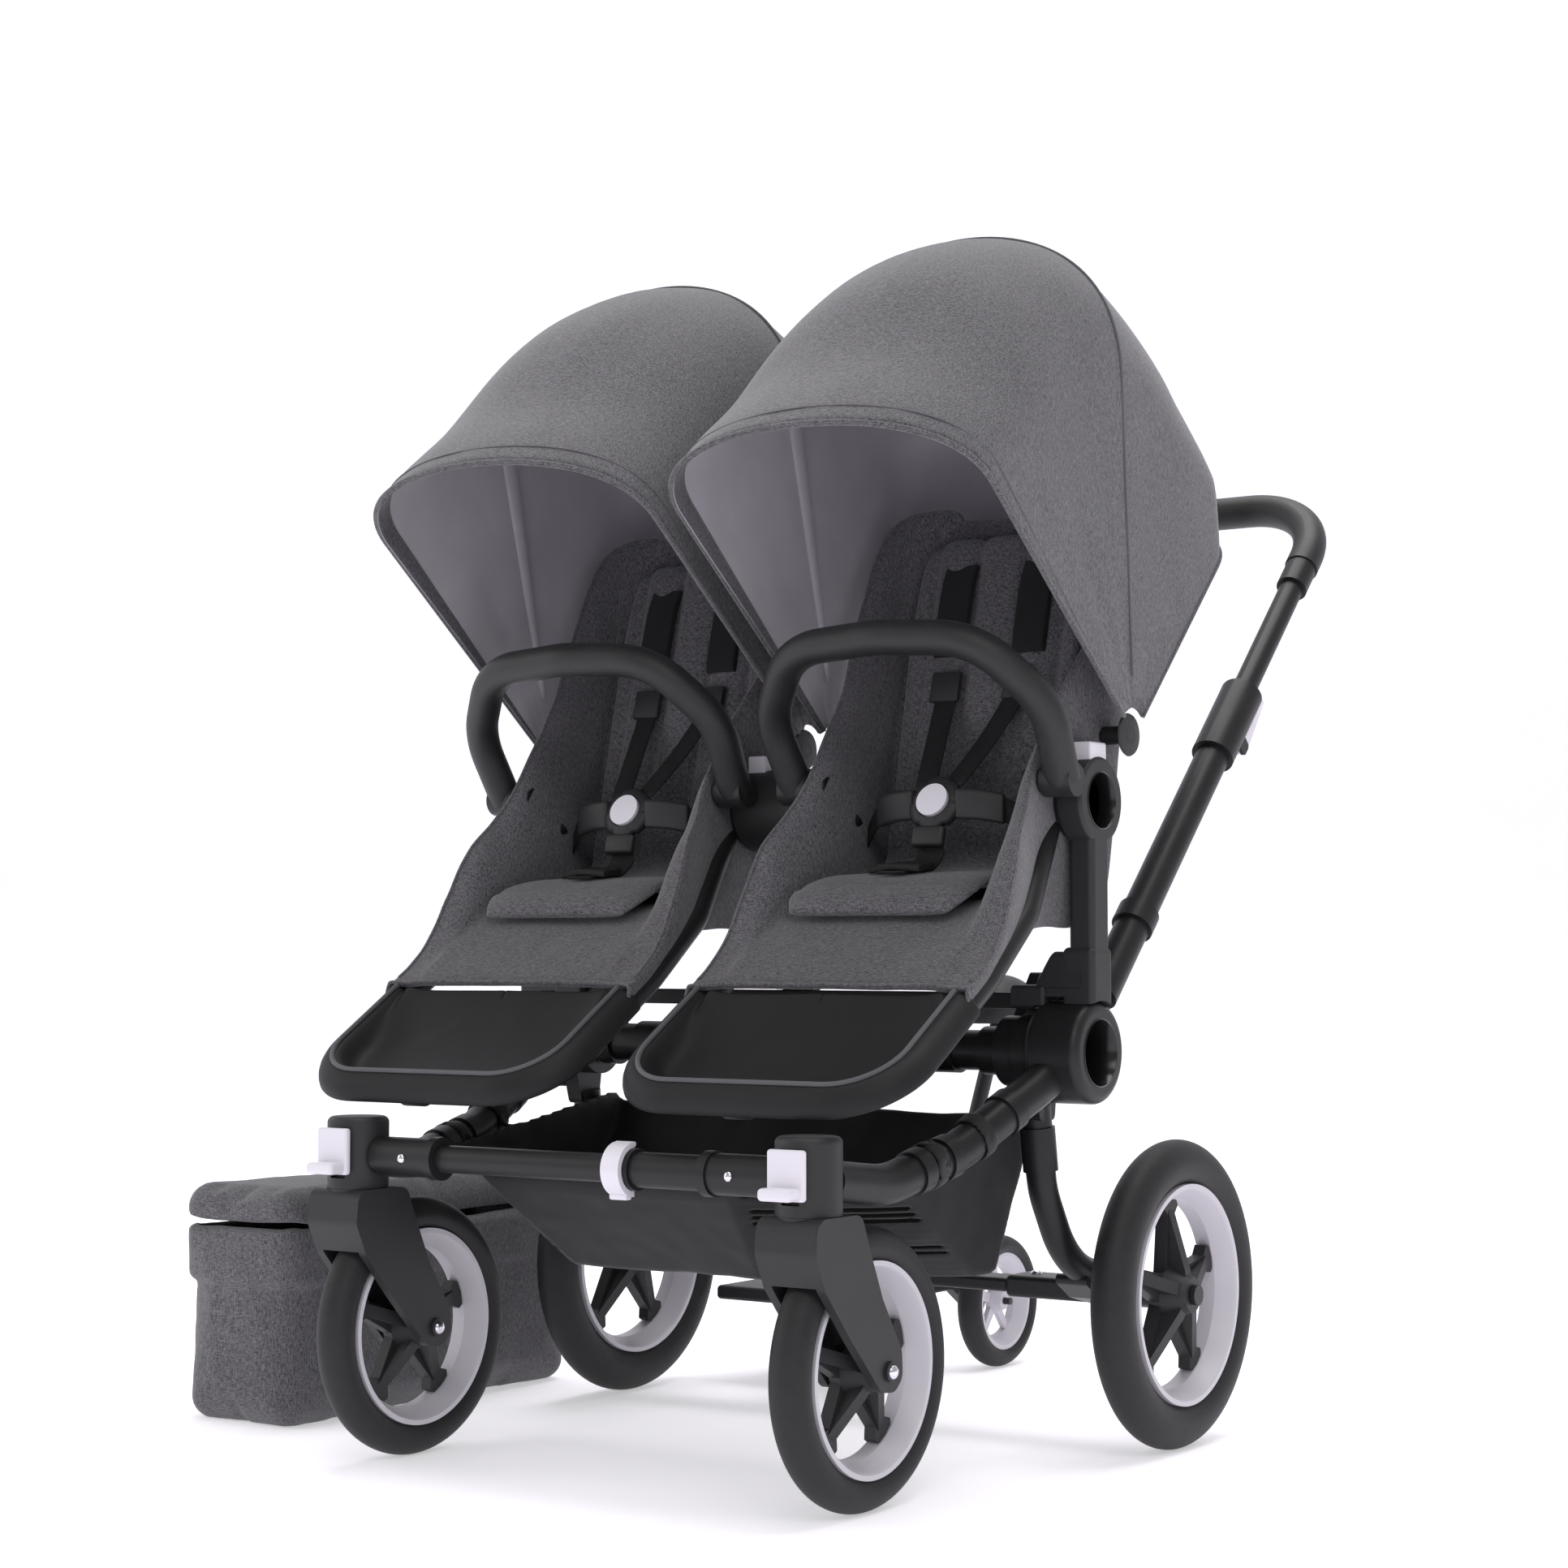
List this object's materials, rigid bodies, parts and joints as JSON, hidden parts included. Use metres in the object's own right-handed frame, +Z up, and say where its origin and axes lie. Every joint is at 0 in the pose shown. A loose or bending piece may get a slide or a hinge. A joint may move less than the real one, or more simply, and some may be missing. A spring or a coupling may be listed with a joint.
{
  "type": "twin side-by-side pushchair",
  "caption": "Four-wheeled twin pushchair with side-by-side seats, hoods, bumper bars, swivel front wheels, U handle, under-seat basket, a loose luggage bag and a rider board.",
  "frame": {"origin": "bottom centre of the whole part's bounding box, on the floor", "axes": "+X to the near (right-hand) side seen from the front, +Y to the rear, +Z up"},
  "size_m": [0.98, 1.0514, 1.2],
  "materials": {
    "tyre": "satin rubber",
    "rim_white": "satin",
    "black_plastic": "matt",
    "white_plastic": "satin",
    "frame_black": "matt anodised black",
    "grey_fabric": "woven melange",
    "liner_fabric": "woven melange",
    "strap": "webbing",
    "leatherette": "stitched leatherette",
    "basket_fabric": "coated cloth"
  },
  "bodies": {
    "chassis": {"castor_housing_right": "black_plastic", "castor_housing_left": "black_plastic", "front_crossbar": "frame_black", "side_frame_right": "frame_black", "side_frame_left": "frame_black", "upright_right": "black_plastic", "upright_left": "black_plastic", "centre_post": "black_plastic", "cross_tube": "frame_black", "carrier_rail": "frame_black", "basket": "basket_fabric"},
    "rear_frame": {"rear_leg_right": "frame_black", "rear_leg_left": "frame_black", "axle_bar": "frame_black"},
    "handle_lower": {"handle_sleeve_right": "frame_black", "handle_sleeve_left": "frame_black"},
    "handle_upper": {"handle_bar": "frame_black", "handle_grip": "leatherette"},
    "crossbar_lever": {"crossbar_lever": "white_plastic"},
    "bag": {"bag_body": "grey_fabric"},
    "bag_lid": {"bag_lid": "grey_fabric"},
    "board": {"board_frame": "black_plastic"},
    "board_wheel": {"board_tyre": "tyre", "board_rim": "rim_white"},
    "fork_right": {"fork_right": "black_plastic"},
    "front_wheel_right": {"front_tyre_right": "tyre", "front_rim_right": "rim_white", "front_star_right": "black_plastic"},
    "rear_wheel_right": {"rear_tyre_right": "tyre", "rear_rim_right": "rim_white", "rear_star_right": "black_plastic"},
    "swivel_lock_right": {"swivel_lock_right": "white_plastic"},
    "clamp_lever_right": {"clamp_lever_right": "white_plastic"},
    "outer_button_right": {"outer_button_right": "white_plastic"},
    "inner_button_right": {"inner_button_right": "white_plastic"},
    "seat_right": {"seat_frame_right": "frame_black", "seat_shell_right": "grey_fabric", "seat_pad_right": "liner_fabric", "harness_right": "strap"},
    "buckle_button_right": {"buckle_button_right": "white_plastic"},
    "bumper_bar_right": {"bumper_bar_right": "leatherette"},
    "canopy_right": {"canopy_right": "grey_fabric"},
    "fork_left": {"fork_left": "black_plastic"},
    "front_wheel_left": {"front_tyre_left": "tyre", "front_rim_left": "rim_white", "front_star_left": "black_plastic"},
    "rear_wheel_left": {"rear_tyre_left": "tyre", "rear_rim_left": "rim_white", "rear_star_left": "black_plastic"},
    "swivel_lock_left": {"swivel_lock_left": "white_plastic"},
    "clamp_lever_left": {"clamp_lever_left": "white_plastic"},
    "outer_button_left": {"outer_button_left": "white_plastic"},
    "inner_button_left": {"inner_button_left": "white_plastic"},
    "seat_left": {"seat_frame_left": "frame_black", "seat_shell_left": "grey_fabric", "seat_pad_left": "liner_fabric", "harness_left": "strap"},
    "buckle_button_left": {"buckle_button_left": "white_plastic"},
    "bumper_bar_left": {"bumper_bar_left": "leatherette"},
    "canopy_left": {"canopy_left": "grey_fabric"}
  },
  "joints": [
    {"name": "rear_fold", "type": "hinge", "parent": "chassis", "child": "rear_frame", "pos_m": [0.124, -0.10625, 0.395], "axis": [-1, 0, 0], "range_deg": [0, 25]},
    {"name": "handle_fold", "type": "hinge", "parent": "chassis", "child": "handle_lower", "pos_m": [0.124, -0.10625, 0.395], "axis": [1, 0, 0], "range_deg": [0, 10]},
    {"name": "handle_length", "type": "slide", "parent": "handle_lower", "child": "handle_upper", "axis": [0, -0.712, -0.7022], "range_m": [0, 0.11]},
    {"name": "front_swivel_right", "type": "hinge", "parent": "chassis", "child": "fork_right", "pos_m": [0.386, -0.47025, 0.265], "axis": [0, 0, 1], "continuous": true},
    {"name": "front_spin_right", "type": "hinge", "parent": "fork_right", "child": "front_wheel_right", "pos_m": [0.386, -0.39125, 0.125], "axis": [1, 0, 0], "continuous": true},
    {"name": "rear_spin_right", "type": "hinge", "parent": "rear_frame", "child": "rear_wheel_right", "pos_m": [0.465, 0.05975, 0.152], "axis": [1, 0, 0], "continuous": true},
    {"name": "swivel_lock_right", "type": "slide", "parent": "chassis", "child": "swivel_lock_right", "axis": [0, 0, -1], "range_m": [0, 0.008]},
    {"name": "handle_clamp_right", "type": "hinge", "parent": "handle_lower", "child": "clamp_lever_right", "pos_m": [0.444, 0.2465, 0.70381], "axis": [-1, 0, 0], "range_deg": [0, 40]},
    {"name": "outer_release_right", "type": "slide", "parent": "chassis", "child": "outer_button_right", "axis": [0, 0, -1], "range_m": [0, 0.003], "stiffness_N_per_m": 400, "springref_m": -0.002},
    {"name": "inner_release_right", "type": "slide", "parent": "chassis", "child": "inner_button_right", "axis": [0, 0, -1], "range_m": [0, 0.003], "stiffness_N_per_m": 400, "springref_m": -0.002},
    {"name": "seat_recline_right", "type": "hinge", "parent": "chassis", "child": "seat_right", "pos_m": [0.313, -0.10125, 0.635], "axis": [1, 0, 0], "range_deg": [-20, 0]},
    {"name": "buckle_press_right", "type": "slide", "parent": "seat_right", "child": "buckle_button_right", "axis": [0, 0.9135, -0.4067], "range_m": [0, 0.002], "stiffness_N_per_m": 300, "springref_m": -0.002},
    {"name": "bar_swing_right", "type": "hinge", "parent": "seat_right", "child": "bumper_bar_right", "pos_m": [0.313, -0.15925, 0.652], "axis": [1, 0, 0], "range_deg": [0, 35]},
    {"name": "canopy_tilt_right", "type": "hinge", "parent": "seat_right", "child": "canopy_right", "pos_m": [0.313, -0.05925, 0.7], "axis": [-1, 0, 0], "range_deg": [0, 10]},
    {"name": "front_swivel_left", "type": "hinge", "parent": "chassis", "child": "fork_left", "pos_m": [-0.138, -0.47025, 0.265], "axis": [0, 0, 1], "continuous": true},
    {"name": "front_spin_left", "type": "hinge", "parent": "fork_left", "child": "front_wheel_left", "pos_m": [-0.138, -0.39125, 0.125], "axis": [1, 0, 0], "continuous": true},
    {"name": "rear_spin_left", "type": "hinge", "parent": "rear_frame", "child": "rear_wheel_left", "pos_m": [-0.217, 0.05975, 0.152], "axis": [1, 0, 0], "continuous": true},
    {"name": "swivel_lock_left", "type": "slide", "parent": "chassis", "child": "swivel_lock_left", "axis": [0, 0, -1], "range_m": [0, 0.008]},
    {"name": "handle_clamp_left", "type": "hinge", "parent": "handle_lower", "child": "clamp_lever_left", "pos_m": [-0.196, 0.2465, 0.70381], "axis": [-1, 0, 0], "range_deg": [0, 40]},
    {"name": "outer_release_left", "type": "slide", "parent": "chassis", "child": "outer_button_left", "axis": [0, 0, -1], "range_m": [0, 0.003], "stiffness_N_per_m": 400, "springref_m": -0.002},
    {"name": "inner_release_left", "type": "slide", "parent": "chassis", "child": "inner_button_left", "axis": [0, 0, -1], "range_m": [0, 0.003], "stiffness_N_per_m": 400, "springref_m": -0.002},
    {"name": "seat_recline_left", "type": "hinge", "parent": "chassis", "child": "seat_left", "pos_m": [-0.065, -0.10125, 0.635], "axis": [1, 0, 0], "range_deg": [-20, 0]},
    {"name": "buckle_press_left", "type": "slide", "parent": "seat_left", "child": "buckle_button_left", "axis": [0, 0.9135, -0.4067], "range_m": [0, 0.002], "stiffness_N_per_m": 300, "springref_m": -0.002},
    {"name": "bar_swing_left", "type": "hinge", "parent": "seat_left", "child": "bumper_bar_left", "pos_m": [-0.065, -0.15925, 0.652], "axis": [1, 0, 0], "range_deg": [0, 35]},
    {"name": "canopy_tilt_left", "type": "hinge", "parent": "seat_left", "child": "canopy_left", "pos_m": [-0.065, -0.05925, 0.7], "axis": [-1, 0, 0], "range_deg": [0, 10]},
    {"name": "width_clamp", "type": "hinge", "parent": "chassis", "child": "crossbar_lever", "pos_m": [0.187, -0.47025, 0.3185], "axis": [-1, 0, 0], "range_deg": [0, 60]},
    {"name": "bag_lift", "type": "slide", "parent": "chassis", "child": "bag", "axis": [0, 0, 1], "range_m": [0, 0.2]},
    {"name": "bag_lid", "type": "hinge", "parent": "bag", "child": "bag_lid", "pos_m": [-0.488, -0.14125, 0.206], "axis": [0, -1, 0], "range_deg": [0, 100]},
    {"name": "board_lift", "type": "hinge", "parent": "rear_frame", "child": "board", "pos_m": [0.017, 0.09575, 0.15], "axis": [1, 0, 0], "range_deg": [0, 35]},
    {"name": "board_spin", "type": "hinge", "parent": "board", "child": "board_wheel", "pos_m": [0.034, 0.44875, 0.077], "axis": [1, 0, 0], "continuous": true}
  ],
  "couplings": [
    {"joint": "handle_fold", "follows": "rear_fold", "ratio": 0.4}
  ]
}
